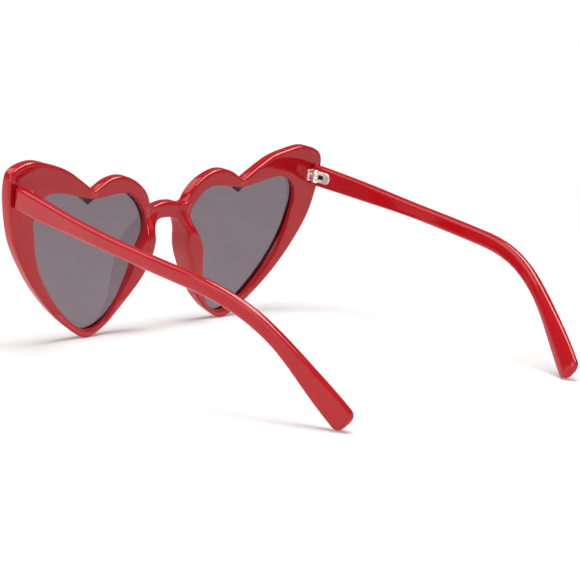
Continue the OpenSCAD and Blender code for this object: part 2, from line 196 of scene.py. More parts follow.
splay_shares = np.array([0.0] * 15 + [0.2, 0.5, 0.7, 0.8, 0.95, 0.85, 0.2, 0, 0, 0])
bevel_shares = np.array([1.0] * 9 + [1.1, 1.3, 1.6, 1.9, 2, 2, 1.8, 1.4] + [1] * 8)
print("stations in each outline:", len(edge_shares))

# %% Run a curve through the stations
steps = 16


def curve(table, corner):
    """A smooth closed curve through the stations: cubic pieces whose slopes are half the
    step between neighbours, and one-sided at station 0 where there is a corner."""
    p = table if table.ndim == 2 else table[:, None]
    before, after, beyond = np.roll(p, 1, 0), np.roll(p, -1, 0), np.roll(p, -2, 0)
    slope_a, slope_b = (after - before) / 2, (beyond - p) / 2
    if corner:
        slope_a[0] = (after - p)[0]
        slope_b[-1] = (after - p)[-1]
    t = (np.arange(steps) / steps)[None, :, None]
    out = (p[:, None] * (2 * t**3 - 3 * t**2 + 1) + slope_a[:, None] * (t**3 - 2 * t**2 + t)
           + after[:, None] * (3 * t**2 - 2 * t**3) + slope_b[:, None] * (t**3 - t**2))
    out = out.reshape(-1, p.shape[1])
    return out if table.ndim == 2 else out[:, 0]


def placed(shares):
    """Shares of a heart as (x, h) in millimetres."""
    return shares * [heart_w, heart_h] + [nose_w / 2, 0]


edge = placed(curve(edge_shares, True))
opening = placed(curve(opening_shares, True))
back_opening = placed(curve(back_opening_shares, False))
seat_line = placed(curve(seat_shares, False))
print("outline points:", len(edge))

# %% [markdown]
# ## The moulded front
# A real front of this kind is one injection moulding. It could be a flat plate with
# bevelled edges, but the pads swell out of it. So its section is carried round the
# heart: a front lip, the face, a bevel and the outer wall, a rounded back edge, the
# back face, a rounded crest, a throat down to the lens, and the groove that holds it.
# The rounded parts are short curves between two points with a corner as their guide.

# %% Sizes of the rim's section
lip_up, lip_over = lip_round * 1.2, lip_round * 1.8
most_share = 0.4                       # a rounding takes no more of a face than this
crest_round, crest_room_share = back_round * 0.4, 0.25
crest_rise_share, throat_rise_share, throat_drop_share = 0.95, 0.85, 0.8
bevel_fall_share = 0.95
throat_share = 0.6                     # the throat's place from the lens seat to the back
face_split_shares = (0.4, 0.6)         # two lines of points across the back face
lip_n, edge_n, back_n, crest_n = 5, 9, 7, 5
print("the front lip rounds over", round(lip_over, 2), "mm")


# %% The rim's section
def unit(v):
    """Directions of length 1."""
    return v / np.linalg.norm(v, axis=-1, keepdims=True)


def rounded(a, corner, b, count):
    """Points on a curve from a to b that heads for the corner:
    (1-t)^2 a + 2t(1-t) corner + t^2 b."""
    t = np.linspace(0, 1, count)[None, :, None]
    return (1 - t) ** 2 * a[:, None] + 2 * t * (1 - t) * corner[:, None] + t**2 * b[:, None]


def at(xh, d):
    """Points (x, d, h) from outline points and a depth behind the wrapped back plane."""
    d = np.broadcast_to(d, len(xh))
    return np.stack([xh[:, 0], d + wrapped(xh[:, 0]), xh[:, 1]], -1)


def line(xh, d):
    """The same as a strip that is one point wide."""
    return at(xh, d)[:, None]


def rim_section():
    """All section points, one row for each outline point: an outline plus a step
    outwards, at a depth of its own. Only the nose side swells (rise) and splays."""
    rise = pad_rise * np.maximum(0, curve(pad_shares, False))
    splay = nose_splay * np.maximum(0, curve(splay_shares, False))
    fall = front_bevel * curve(bevel_shares, False)
    out = unit(edge - opening)
    width = np.linalg.norm(edge - opening, axis=1)
    back = edge - out * splay[:, None]
    inward = unit(back - back_opening)
    room = np.linalg.norm(back - back_opening, axis=1)
    bevel = np.minimum(front_bevel, width * most_share)
    round_out = np.minimum(back_round, room * most_share)
    round_in = np.minimum(crest_round, room * crest_room_share)
    face_middle = (lip_over + width - bevel) / 2
    lip = rounded(at(opening, lip_up - front_t), at(opening, -front_t),
                  at(opening + out * lip_over, -front_t), lip_n)
    face = line(opening + out * face_middle[:, None], -front_t)
    front_edge = rounded(at(edge - out * bevel[:, None], -front_t), at(edge, -front_t),
                         at(edge, fall * bevel_fall_share - front_t), edge_n)
    back_edge = rounded(at(back, rise - round_out), at(back, rise),
                        at(back - inward * round_out[:, None], rise), back_n)
    back_face = [line(back * (1 - s) + back_opening * s, rise) for s in face_split_shares]
    crest_depth = rise * crest_rise_share
    crest_end = rise * throat_rise_share - round_in * throat_drop_share
    crest = rounded(at(back_opening + inward * round_in[:, None], crest_depth),
                    at(back_opening, crest_depth), at(back_opening, crest_end), crest_n)
    throat = line(seat_line * (1 - throat_share) + back_opening * throat_share, -lens_back)
    groove_floor = seat_line + unit(edge - seat_line) * groove_depth
    groove = [line(groove_floor, -lens_back), line(groove_floor, -lens_front)]
    front_lip = line(opening, -lens_front)
    return np.concatenate([lip, face, front_edge, back_edge, *back_face, crest,
                           throat, *groove, front_lip], 1)


section = rim_section()
rows, columns = section.shape[:2]
print("section points:", columns)

# %% [markdown]
# ## The bridge and the whole front
# The bridge could be a bar pushed into both rims, but a moulding has no such seam. So
# it grows out of a window in each rim's outer wall. Every point of the window's edge
# has its mirror image on the other rim, and between the two it dips to a rounded bar
# whose top is crowned. A high power of the place along the bridge keeps the bar level
# in the middle and turns it into the rims at the ends, like the fillet of a mould.

# %% Draw the bridge
bridge_from, bridge_to = 18.75, 20.5   # the stations between which it leaves the rim
wall_from = lip_n + 1 + 1              # it starts just inside the front bevel
wall_to = lip_n + 1 + edge_n + back_n - 2      # and ends on the rounded back edge
corner_power, fillet_power, ring_count = 4, 4, 40
crown_h, crown_power, crown_drop = 0.8, 1.3, 0.1
low_row, high_row = round(bridge_from * steps), round(bridge_to * steps)
up_the_wall = [(low_row, j) for j in range(wall_from, wall_to)]
along_the_back = [(i, wall_to) for i in range(low_row, high_row)]
down_the_wall = [(high_row, j) for j in range(wall_to, wall_from, -1)]
along_the_front = [(i, wall_from) for i in range(high_row, low_row, -1)]
walk = np.array(up_the_wall + along_the_back + down_the_wall + along_the_front)
window = section[walk[:, 0], walk[:, 1]]
u = 2 * (walk[:, 0] - low_row) / (high_row - low_row) - 1
v = 2 * (walk[:, 1] - wall_from) / (wall_to - wall_from) - 1
k = (u**corner_power + v**corner_power) ** (1 / corner_power)
bar_upward, bar_back = u / k, v / k    # a rounded square of side 2
bar_middle, bar_half_h = (bridge_top + bridge_under) / 2, (bridge_top - bridge_under) / 2
bar_d = (bar_back - 1) * front_t / 2
bar_h = bar_middle + bar_upward * bar_half_h
across = np.cos(np.pi * np.arange(1, ring_count) / ring_count)[:, None]
weight = np.abs(across) ** fillet_power
swell = crown_h * np.cos(np.pi * np.abs(across) ** crown_power) - crown_drop
crown = np.maximum(0, bar_upward) * swell
bridge = np.stack([window[:, 0] * across, window[:, 1] * weight + bar_d * (1 - weight),
                   window[:, 2] * weight + (bar_h + crown) * (1 - weight)], -1)
print("bridge:", bridge.shape[0], "rings of", bridge.shape[1], "points")


# %% Make the front
def in_window(i, j):
    """True for the wall's quads that the bridge takes the place of."""
    return (i >= low_row) & (i < high_row) & (j >= wall_from) & (j < wall_to)


left_rim = section.reshape(-1, 3)
right_rim = left_rim * [-1, 1, 1]
rim_n, ring_n = len(left_rim), len(walk)
left_faces = grid_faces(rows, columns, close_rows=True, skip=in_window)[:, ::-1]
right_faces = grid_faces(rows, columns, rim_n, close_rows=True, skip=in_window)
left_ring = walk[:, 0] * columns + walk[:, 1]
bridge_rings = 2 * rim_n + np.arange((ring_count - 1) * ring_n).reshape(-1, ring_n)
rings = np.vstack([left_ring, bridge_rings, left_ring + rim_n])
turned_rings = np.roll(rings, -1, 1)
bridge_faces = np.stack([rings[:-1], turned_rings[:-1], turned_rings[1:], rings[1:]], -1)
front_points = stand(np.vstack([left_rim, right_rim, bridge.reshape(-1, 3)]))
# Known fault: these faces point inwards. Their columns [0, 3, 2, 1] would point out.
front_faces = np.vstack([left_faces, right_faces, bridge_faces.reshape(-1, 4)]).tolist()
front = make_piece("moulded_front", front_points, front_faces, 32)
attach(front, bodies["front"])
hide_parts("front_frame")

# %% [markdown]
# ## The temple's curve
# A temple is moulded flat and then bent warm over a form. Blender could bend a bar
# along a curve object, but here the bar is one whose direction changes smoothly: it
# droops a little, bends down behind the ear, flares out at the root and bows back in.
# Adding up short steps in that direction gives the curve, and a drawing can be laid
# along it with its root cut flat against the front.

# %% Sizes of the temple and its hinge
temple_l, temple_t, temple_edge = 151.0, 3.2, 1.3
root_h, waist_h, paddle_h = 7.8, 5.2, 8.4
bend_start, bend_l = 79.0, 53.0
droop, bend_down, bow, tuck, twist = 2.0, 36.5, 20.0, 9.0, 8.5         # degrees
tuck_l = bend_l * 0.5
axis_back, axis_in, butt_gap, flare = 3.6, 1.2, 1.3, 6.0
side_inset, hinge_h_share, butt_blend = 1.5, 0.828, 3.0
axis_x = half_w - side_inset - temple_t - axis_in
axis_slope = np.arcsin(axis_x / wrap_r)
axis_d = wrapped(axis_x) + axis_back / np.cos(axis_slope)
axis = np.array([axis_x, axis_d, heart_h * hinge_h_share])
butt_normal = np.array([-np.sin(axis_slope), np.cos(axis_slope), 0])
butt_point = axis - butt_normal * (axis_back - butt_gap)
print("hinge axis at", axis.round(2))


# %% Lay a drawing along the temple
def ease(t):
    """Goes from 0 to 1 and is level at both ends: 3u^2 - 2u^3."""
    u = np.clip(t, 0, 1)
    return u * u * (3 - 2 * u)


def temple_directions(s):
    """Ahead, up and out at length s, from the angles of droop, heading and lean there."""
    bend = ease((s - bend_start) / bend_l)
    down = np.radians(droop + bend_down * bend)
    tucked = tuck * ease((s - bend_start) / tuck_l)
    heading = np.radians(flare - bow * s / temple_l - tucked)
    ahead = np.stack([np.cos(down) * np.sin(heading), np.cos(down) * np.cos(heading),
                      -np.sin(down)], -1)
    up = np.stack([np.tan(np.radians(-twist * bend)), np.sin(down), np.cos(down)], -1)
    up = unit(up - ahead * (up * ahead).sum(-1, keepdims=True))
    return ahead, up, np.cross(ahead, up)


s_fine = np.linspace(0, temple_l, 3001)
ahead_fine = temple_directions((s_fine[1:] + s_fine[:-1]) / 2)[0]
ahead_root = temple_directions(np.zeros(1))[0][0]
out_root = np.cross(ahead_root, [0, 0, 1])
root = axis + out_root * (axis_in + temple_t / 2) - ahead_root * (axis_back - butt_gap)
path = root + np.vstack([np.zeros(3), np.cumsum(ahead_fine * (s_fine[1] - s_fine[0]), 0)])


def on_temple(s, outward, upward):
    """path(s) + outward * out + upward * up, with the root slid onto the flat butt face."""
    ahead, up, out = temple_directions(s)
    p = np.stack([np.interp(s, s_fine, path[:, c]) for c in range(3)], -1)
    p = p + out * outward[..., None] + up * upward[..., None]
    slide = ((butt_point - p) @ butt_normal + s) / (ahead @ butt_normal) * (1 - ease(s / butt_blend))
    return p + ahead * slide[..., None]


print("temple tip at", path[-1].round(1))

# %% [markdown]
# ## The temples
# The bar is a rectangle with rounded edges that narrows to a waist and widens to a
# paddle. Between hinge and bend its top leans outwards a little. Behind the bend the
# inner side is fuller, and it leans back and rounds off broadly towards the top, so
# it lies softly against the head. The pocket for the hinge leaf could be cut out with
# a Boolean modifier, but it is there in every section and simply has no size where
# the leaf ends, so the grid never breaks. The paddle's end is the two halves of the
# last section, blended while they swing through half a circle made nearly square.

# %% Sizes of the section
leaf_h, leaf_l, leaf_t, leaf_proud = 4.2, 6.0, 1.2, 0.5
pocket_side_gap, pocket_floor_gap = 0.05, 0.03
end_round, flat_step = 0.25, 0.2
paddle_grow, paddle_bulge, paddle_lean = 40.0, 0.6, 7.0
paddle_thin, paddle_tall_share = 0.15, 0.85
waist_s = bend_start * 0.7
widen_s, widen_l = bend_start + bend_l * 0.7, bend_l * 0.55
leaf_start = axis_back - butt_gap
pocket_r = leaf_h / 2 + pocket_side_gap
pocket_c = leaf_start + leaf_l - leaf_h / 2
print("the pocket's round end is at", round(pocket_c, 2), "mm")


# %% Half of the section
def bar_height(s):
    """Half of the bar's height: root to waist, then waist to paddle."""
    tall = root_h + (waist_h - root_h) * ease(s / waist_s)
    return (tall + (paddle_h - tall) * ease((s - widen_s) / widen_l)) / 2


def half_section(s, side, corners=8):
    """Outward and height of half a section, from the middle of the outer side over the
    edge to the middle of the inner side. Each corner is an arc (a cos, b sin). Side is
    1 for the upper half and -1 for the lower one."""
    s = s[:, None]
    turn = np.radians(np.linspace(0, 90, corners))
    chip = end_round * (1 - np.sqrt(1 - np.clip(1 - s / end_round, 0, 1) ** 2))
    half_t = temple_t / 2 - chip
    half_h = bar_height(s) - chip
    r = temple_edge - chip
    end = np.clip((s - pocket_c) / pocket_r, 0, 1)
    pocket_half = pocket_r * np.sqrt(1 - end**2)
    deep = np.where(end < 1, leaf_t - leaf_proud + pocket_floor_gap, 0)
    middle = side * np.where(end < 1, (s - leaf_start) * np.tan(np.radians(droop)), 0)
    grown = ease((s - bend_start) / paddle_grow)
    thin = r + paddle_thin * grown
    tall = r + (paddle_tall_share * half_h - r) * grown
    flat_end = half_h - tall - np.minimum(flat_step, (half_h - tall) / 2)
    inner_x = -half_t - paddle_bulge * grown
    outer = [half_t, half_t, half_t - r + r * np.cos(turn)]
    inner = [inner_x + thin - thin * np.sin(turn), inner_x, inner_x, inner_x + deep, inner_x + deep]
    outer_h = [0 * s, half_h - r - flat_step, half_h - r + r * np.sin(turn)]
    inner_h = [half_h - tall + tall * np.cos(turn), flat_end, middle + pocket_half,
               middle + pocket_half, middle]
    outer, inner = np.concatenate(outer, 1), np.concatenate(inner, 1)
    inner_h = np.concatenate(inner_h, 1)
    lean = np.tan(np.radians(paddle_lean)) * grown
    inner = inner + lean * (half_h + side * inner_h)
    edge_middle = (outer[:, -1:] + inner[:, :1]) / 2
    height = np.concatenate([*outer_h, half_h, inner_h], 1)
    return np.concatenate([outer, edge_middle, inner], 1), height


round_stations = end_round * (1 - np.cos(np.linspace(0, np.pi / 2, 5)))
leaf_stations = np.linspace(0.8, pocket_c, 12)
pocket_stations = pocket_c + pocket_r * np.sin(np.radians(np.linspace(5, 85, 17)))
bar_start = pocket_c + pocket_r
bar_stations = np.linspace(bar_start + 1, temple_l - paddle_h / 2, 110)
along = np.concatenate([round_stations, leaf_stations, pocket_stations, [bar_start], bar_stations])
upper_out, upper_h = half_section(along, 1)
lower_out, lower_h = half_section(along, -1)
print("stations along the temple:", len(along))

# %% Join the halves and close the paddle
tilt_deg, tilt_from, tilt_in, tilt_to, tilt_fade = 7.0, 12, 20, 85, 30
tip_l, tip_rows, tip_power, tip_uneven = 2.8, 49, 2.7, 0.2
tilt_share = ease((along - tilt_from) / tilt_in) - ease((along - tilt_to) / tilt_fade)
tilt = np.tan(np.radians(tilt_deg)) * tilt_share[:, None]
back_again = slice(-2, 0, -1)
bar_out = np.concatenate([upper_out + tilt * upper_h,
                          (lower_out - tilt * lower_h)[:, back_again]], 1)
bar_h = np.concatenate([upper_h, -lower_h[:, back_again]], 1)
bar_points = on_temple(np.broadcast_to(along[:, None], bar_out.shape), bar_out, bar_h)
swing = np.radians(np.linspace(90, -90, tip_rows))[:, None]
power = tip_power - tip_uneven * np.sin(swing)
reach_up, reach_on = np.abs(np.sin(swing)), np.cos(swing) * paddle_h / 2 / tip_l
reach = (reach_up**power + reach_on**power) ** (-1 / power)
above = (1 + np.sin(swing)) / 2
tip_out = upper_out[-1] * above + lower_out[-1] * (1 - above)
tip_points = on_temple(along[-1] + upper_h[-1] * np.cos(swing) * reach, tip_out,
                       upper_h[-1] * np.sin(swing) * reach)
bar_n, half_n, tip_start = bar_out.shape[1], upper_out.shape[1], bar_out.size
bar_faces = grid_faces(len(along), bar_n).tolist()
butt_face = [list(range(bar_n))]
tip_faces = grid_faces(tip_rows, half_n, tip_start, close_columns=False).tolist()
temple_points = np.vstack([bar_points.reshape(-1, 3), tip_points.reshape(-1, 3)])
temple_faces = bar_faces + butt_face + tip_faces
print("a temple has", len(temple_points), "points")


# %% Make the temples
def weld(piece, crisp_deg):
    """Merges doubled points, turns all faces outwards and marks the crisp edges."""
    bm = bmesh.new()
    bm.from_mesh(piece.data)
    bmesh.ops.remove_doubles(bm, verts=bm.verts, dist=2e-7)
    bmesh.ops.recalc_face_normals(bm, faces=bm.faces)
    open_edges = sum(not e.is_manifold for e in bm.edges)
    bm.to_mesh(piece.data)
    bm.free()
    piece.data.shade_smooth()
    piece.data.set_sharp_from_angle(angle=np.radians(crisp_deg))
    print(piece.name, "open edges:", open_edges)


sides = (("left", np.array([1.0, 1.0, 1.0])), ("right", np.array([-1.0, 1.0, 1.0])))
for side, flip in sides:
    temple = make_piece("moulded_temple_" + side, stand(temple_points * flip), temple_faces)
    weld(temple, 32)
    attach(temple, bodies[side])
    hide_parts("temple_" + side)

# %% [markdown]
# ## The lenses
# A lens is cut from a tinted sheet and snapped into the groove, so it follows the
# wrap of the front. A flat face with Solidify would miss that curve. Rings from its
# edge to its middle, on the front and on the back of the sheet, make a closed pane of
# even thickness that refracts as glass does.

# %% Make the lenses
lens_middle_shares = [0.43, 0.48]
lens_edge = seat_line + unit(edge - seat_line) * (groove_depth - lens_clear)
lens_heart = placed(np.array(lens_middle_shares))
shrink_shares = np.concatenate([[1, 0.99], np.linspace(0.95, 0.05, 13)])


def sheet(radius):
    """Rings of the lens on a cylinder of that radius round the front's centre of wrap."""
    xh = lens_heart + (lens_edge - lens_heart) * shrink_shares[:, None, None]
    return np.stack([xh[..., 0], wrap_r - np.sqrt(radius**2 - xh[..., 0] ** 2), xh[..., 1]], -1)


lens_mid = wrap_r + (lens_front + lens_back) / 2
face_side, back_side = sheet(lens_mid + lens_t / 2), sheet(lens_mid - lens_t / 2)
pane = np.concatenate([face_side[::-1], back_side])
lens_rows, lens_n = pane.shape[:2]
lens_faces = grid_faces(lens_rows, lens_n).tolist()
lens_faces += [list(range(lens_n)), list(range(lens_n * (lens_rows - 1), lens_n * lens_rows))]
for side, flip in sides:
    lens = make_piece("tinted_lens_" + side, stand(pane.reshape(-1, 3) * flip), lens_faces)
    weld(lens, 40)
    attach(lens, "front")
    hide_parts("lens_" + side)

# %% [markdown]
# ## The hinges
# Each hinge has a U shaped leaf pressed into the temple, a small leaf on the back of
# the front, three knuckles and a slotted screw. They are stamped and turned in thin
# metal. Bevel modifiers on plain boxes would do for most of it, but every edge here
# is rounded and catches the light, so the rounding is part of each formula. A turned
# profile gives the knuckles and the screw, and the leaf is a section carried round
# the U. Behind the slot lies a near-black sheet: painted shade for the deep slot.


# %% Turned shapes and rounded boxes
def turned(profile, count=48):
    """A closed profile of (radius, height) turned round the upright axis."""
    a = np.linspace(0, 2 * np.pi, count, endpoint=False)[:, None]
    r, z = np.asarray(profile, float).T
    points = np.stack([r * np.cos(a), r * np.sin(a), z + 0 * a], -1)
    return points.reshape(-1, 3), grid_faces(count, len(r), close_rows=True).tolist()


def knuckle(low, high, radius=1.3, bore=0.64, soft=0.15):
    """A barrel with a bore, whose outer edges are rounded by three points each."""
    part = soft * 0.3
    foot = [(bore, low), (radius - soft, low), (radius - part, low + part), (radius, low + soft)]
    head = [(radius, high - soft), (radius - part, high - part), (radius - soft, high), (bore, high)]
    return turned(foot + head)


def soft_box(low, high, r, k=4):
    """A box with rounded edges: in each eighth, corner + r * direction of a ball's grid."""
    low, high = np.array(low), np.array(high)
    quarter = np.linspace(0, np.pi / 2, k)
    round_angle = np.concatenate([quarter + q * np.pi / 2 for q in range(4)])
    round_sign = np.repeat(np.array([[1, 1], [-1, 1], [-1, -1], [1, -1]]), k, 0)
    rise_angle = np.concatenate([quarter - np.pi / 2, quarter])[:, None]
    rise_sign = np.repeat([-1, 1], k)[:, None, None]
    direction = np.stack([np.cos(rise_angle) * np.cos(round_angle),
                          np.cos(rise_angle) * np.sin(round_angle),
                          np.sin(rise_angle) + 0 * round_angle], -1)
    eighth = np.concatenate([np.broadcast_to(round_sign, (2 * k, 4 * k, 2)),
                             np.broadcast_to(rise_sign, (2 * k, 4 * k, 1))], -1)
    points = (low + high) / 2 + eighth * ((high - low) / 2 - r) + r * direction
    caps = [list(range(4 * k)), list(range((2 * k - 1) * 4 * k, 2 * k * 4 * k))]
    return points.reshape(-1, 3), grid_faces(2 * k, 4 * k).tolist() + caps


def gather(*shells):
    """Several closed shells as one list of points and one of faces."""
    faces = []
    start = 0
    for shell_points, shell_faces in shells:
        faces += [[start + v for v in face] for face in shell_faces]
        start += len(shell_points)
    return np.vstack([shell_points for shell_points, _ in shells]), faces


print("a rounded box has", len(soft_box([0, 0, 0], [1, 1, 1], 0.1)[0]), "points")


# %% The stamped U
def u_outline(end, end_r, half_width, power):
    """Two straight prongs joined at end by a curve: end_r cos^power onwards, half_width
    sin^power across. A power of 1 gives half an ellipse, a lower one a squarer end."""
    straight = np.linspace(0, 1, 9)[:-1]
    arc = np.radians(np.linspace(-90, 90, 33))
    onward = end + end_r * np.abs(np.cos(arc)) ** power
    sideways = half_width * np.sign(np.sin(arc)) * np.abs(np.sin(arc)) ** power
    return np.concatenate([np.stack([straight * end, 0 * straight - half_width], 1),
                           np.stack([onward, sideways], 1),
                           np.stack([straight[::-1] * end, 0 * straight + half_width], 1)])


def stamped_u(length, height, slot_length, slot_height, front_x, back_x):
    """The U leaf: between the slot's outline and the outer one the face is dished, with
    a rounded rim along both, and it is closed at the back and at both prongs."""
    slot_end_r, slot_power = 0.35, 0.5
    rim = [(0, 0.26), (0.05, 0.10), (0.16, 0.0), (0.32, -0.03), (0.5, -0.02)]
    outer = u_outline(length - height / 2, height / 2, height / 2, 1)
    inner = u_outline(slot_length - slot_end_r, slot_end_r, slot_height / 2, slot_power)
    across = unit(outer - inner)
    width = np.linalg.norm(outer - inner, axis=1)[:, None]
    from_slot = [(0 * width + step, front_x + x) for step, x in rim]
    to_edge = [(width - step, front_x + x) for step, x in rim[::-1]]
    spots = [(0 * width, back_x)] + from_slot + [(width / 2, front_x)] + to_edge + [(width, back_x)]
    flat = np.stack([inner + across * step for step, _ in spots], 1)
    deep = np.broadcast_to([x for _, x in spots], flat.shape[:2])
    n, m = deep.shape
    points = np.stack([deep, flat[..., 0], flat[..., 1]], -1).reshape(-1, 3)
    prong_ends = [list(range(m)), list(range((n - 1) * m, n * m))]
    return points, grid_faces(n, m).tolist() + prong_ends


print("the U's outer outline has", len(u_outline(4, 2, 2, 1)), "points")

# %% [markdown]
# ## The screw's head
# The head is a low dome with a slot for a screwdriver. A Boolean cut would leave a
# ragged ring round the slot. Here the head's grid has straight rows that run along
# the slot, with two rows at each side of it, so the slot's walls are upright and its
# edges are true.

# %% Draw the screw's head
seat = 0.03
screw_r, head_r, head_h = 0.6, 1.1, 0.55
head_low = leaf_h / 2 + seat
dome_h, edge_fall, dome_power, edge_power = 0.05, 0.16, 2, 6


def screw_head(slot_w=0.3, slot_d=0.25, row_n=12, column_n=25):
    """Rows y of a disc, each from -sqrt(r^2 - y^2) to +sqrt(r^2 - y^2), domed and slotted."""
    slot_edge = slot_w / 2
    half = head_r * np.sin(np.linspace(np.arcsin(slot_edge / head_r), np.pi / 2, row_n))
    half = np.concatenate([[slot_edge], half])
    y = np.concatenate([-half[::-1], half])
    cut = np.zeros(len(y))
    cut[row_n:row_n + 2] = slot_d
    chord = np.sqrt(np.maximum(head_r**2 - y**2, 0))[:, None]
    x = chord * np.sin(np.linspace(-np.pi / 2, np.pi / 2, column_n))
    far = np.clip(np.hypot(x, y[:, None]) / head_r, 0, 1)
    z = head_low + head_h - edge_fall * far**edge_power - dome_h * far**dome_power - cut[:, None]
    top = np.stack([x, y[:, None] + 0 * x, z], -1)
    rim = np.concatenate([top[:, -1], top[::-1, 0]])
    foot = rim * [1, 1, 0] + [0, 0, head_low]
    top_n, rim_n = z.size, len(rim)
    top_faces = grid_faces(*z.shape, close_columns=False).tolist()
    wall = grid_faces(2, rim_n, top_n).tolist()
    floor = [list(range(top_n + rim_n, top_n + 2 * rim_n))]
    return np.vstack([top.reshape(-1, 3), rim, foot]), top_faces + wall + floor


print("the screw's head has", len(screw_head()[0]), "points")

# %% [markdown]
# ## The hinge pieces
# Each piece is drawn about the screw, with x outwards and y back, turned to the angle
# of the temple or of the front, and moved to the hinge. The left one's mirror image
# is the right one. Drawing them in place would hide that all of them share one axis.

# %% Draw the hinge pieces
slot_h, slot_l, leaf_plate_t, slack = 1.5, 3.0, 0.9, 0.08
leaf_front, leaf_back = axis_in - leaf_proud, axis_in - leaf_proud + leaf_t
# floor_front to floor_end place the near-black sheet of painted shade behind the slot.
floor_front, floor_back, floor_start, floor_end = leaf_back - 0.4, leaf_back - 0.02, 0.6, slot_l + 0.05
knuckle_r, plate_reach, plate_soft = 1.3, 2.21, 0.18
web_half, web_root, web_end, web_soft = 1.04, 0.3, -0.7, 0.1
middle_h = slot_h / 2 - slack
plate_d = seat - axis_back
screw_soft, dimple = 0.1, 0.02


def temple_leaf():
    """The U in the temple with the upper and the lower knuckle."""
    return gather(stamped_u(leaf_l, leaf_h, slot_l, slot_h, leaf_front, leaf_back),
                  knuckle(slot_h / 2, leaf_h / 2), knuckle(-leaf_h / 2, -slot_h / 2))


def slot_floor():
    """A near-black sheet behind the U's slot: painted shade for the deep slot."""
    floor_half = slot_h / 2 + seat
    return soft_box([floor_front, floor_start, -floor_half], [floor_back, floor_end, floor_half], 0.04)


def frame_leaf():
    """The plate on the front, its web and the middle knuckle."""
    plate = soft_box([-knuckle_r, plate_d, -leaf_h / 2],
                     [plate_reach, plate_d + leaf_plate_t, leaf_h / 2], plate_soft)
    web = soft_box([-web_half, plate_d + web_root, -middle_h], [web_half, web_end, middle_h], web_soft)
    return gather(plate, web, knuckle(-middle_h, middle_h, knuckle_r))


def hinge_screw():
    """The shank with a softened foot, which ends inside the slotted head."""
    shank_top = head_low + screw_soft
    shank = turned([(0, -leaf_h / 2 - dimple), (screw_r - screw_soft, -leaf_h / 2),
                    (screw_r, screw_soft - leaf_h / 2), (screw_r, shank_top), (0, shank_top)])
    return gather(shank, screw_head())


def at_hinge(points, angle):
    """Turns points about the screw by an angle in radians and moves them to the hinge."""
    x, y, z = np.asarray(points).T
    turned_x = x * np.cos(angle) - y * np.sin(angle)
    turned_y = x * np.sin(angle) + y * np.cos(angle)
    return np.stack([turned_x, turned_y, z], -1) + axis


print("the hinge's axis leans by", round(float(np.degrees(axis_slope)), 1), "degrees")

# %% Make the hinge pieces
flare_angle = -np.radians(flare)
on_front = {"left": "front", "right": "front"}
# The near-black sheet behind each slot is painted shade and replaces no piece of the model.
hinge_kinds = (
    ("temple_hinge", temple_leaf(), flare_angle, bodies, "hinge_metal"),
    ("slot_floor", slot_floor(), flare_angle, bodies, None),
    ("frame_hinge", frame_leaf(), axis_slope, on_front, "hinge_metal"),
    ("hinge_screw", hinge_screw(), flare_angle, bodies, "screw_metal"))
for kind, (points, faces), angle, carriers, slot in hinge_kinds:
    for side, flip in sides:
        part = make_piece(kind + "_piece_" + side, stand(at_hinge(points, angle) * flip), faces)
        weld(part, 35)
        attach(part, carriers[side])
        if slot:
            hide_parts(kind + "_" + side)

# %% [markdown]
# ## Finishes
# A new moulding is never quite even: the colour flows a little, the gloss ripples,
# and handling leaves hair-fine scratches and rubbed edges. The red plastic also uses
# the edge mask for a painted highlight. An image could carry such marks, but it would
# have to be fitted to every piece. They are the same idea on plastic, metal and lens,
# so they are built once as a group of nodes that puts out masks, and each finish
# decides what to do with them.


# %% Add a node in one line
def add(tree, kind, inputs=None, **settings):
    """A node with its settings, and with values or links on its inputs."""
    node = tree.nodes.new(kind)
    for name, value in settings.items():
        setattr(node, name, value)
    for name, value in (inputs or {}).items():
        if isinstance(value, bpy.types.NodeSocket):
            tree.links.new(value, node.inputs[name])
        else:
            node.inputs[name].default_value = value
    return node


def arithmetic(tree, operation, a, b):
    """One step of arithmetic on two values or links."""
    return add(tree, "ShaderNodeMath", {0: a, 1: b}, operation=operation).outputs[0]


def spread(tree, value, low, high, to_low=0.0, to_high=1.0):
    """Maps low..high to another range, and holds it there."""
    values = {"Value": value, "From Min": low, "From Max": high, "To Min": to_low, "To Max": to_high}
    return add(tree, "ShaderNodeMapRange", values).outputs[0]


def blend_colours(tree, factor, a, b):
    """Colour a where the factor is 0 and colour b where it is 1."""
    mix = add(tree, "ShaderNodeMix", data_type="RGBA")
    for socket, value in ((mix.inputs[0], factor), (mix.inputs[6], a), (mix.inputs[7], b)):
        if isinstance(value, bpy.types.NodeSocket):
            tree.links.new(value, socket)
        else:
            socket.default_value = value
    return mix.outputs[2]


print("colour mixers and ranges are ready")

# %% Marks of moulding and use, built once
marks = bpy.data.node_groups.new("marks_of_use", "ShaderNodeTree")
for name, value in (("Flow Scale", 45.0), ("Ripple Scale", 330.0), ("Scratch Scale", 160.0)):
    socket = marks.interface.new_socket(name, in_out="INPUT", socket_type="NodeSocketFloat")
    socket.default_value = value
for name in ("Flow", "Ripple", "Scratches", "Edge"):
    marks.interface.new_socket(name, in_out="OUTPUT", socket_type="NodeSocketFloat")
given, taken = marks.nodes.new("NodeGroupInput"), marks.nodes.new("NodeGroupOutput")
place = add(marks, "ShaderNodeTexCoord").outputs["Object"]
flow = add(marks, "ShaderNodeTexNoise", {
    "Vector": place, "Scale": given.outputs["Flow Scale"], "Detail": 3.0, "Distortion": 0.6})
ripple = add(marks, "ShaderNodeTexNoise", {
    "Vector": place, "Scale": given.outputs["Ripple Scale"], "Detail": 1.0})
stretched = add(marks, "ShaderNodeMapping", {
    "Vector": place, "Rotation": (0.5, 0.3, 0.8), "Scale": (1.0, 14.0, 3.0)})
hairs = add(marks, "ShaderNodeTexNoise", {
    "Vector": stretched.outputs[0], "Scale": given.outputs["Scratch Scale"], "Detail": 4.0})
bent = add(marks, "ShaderNodeNewGeometry").outputs["Pointiness"]
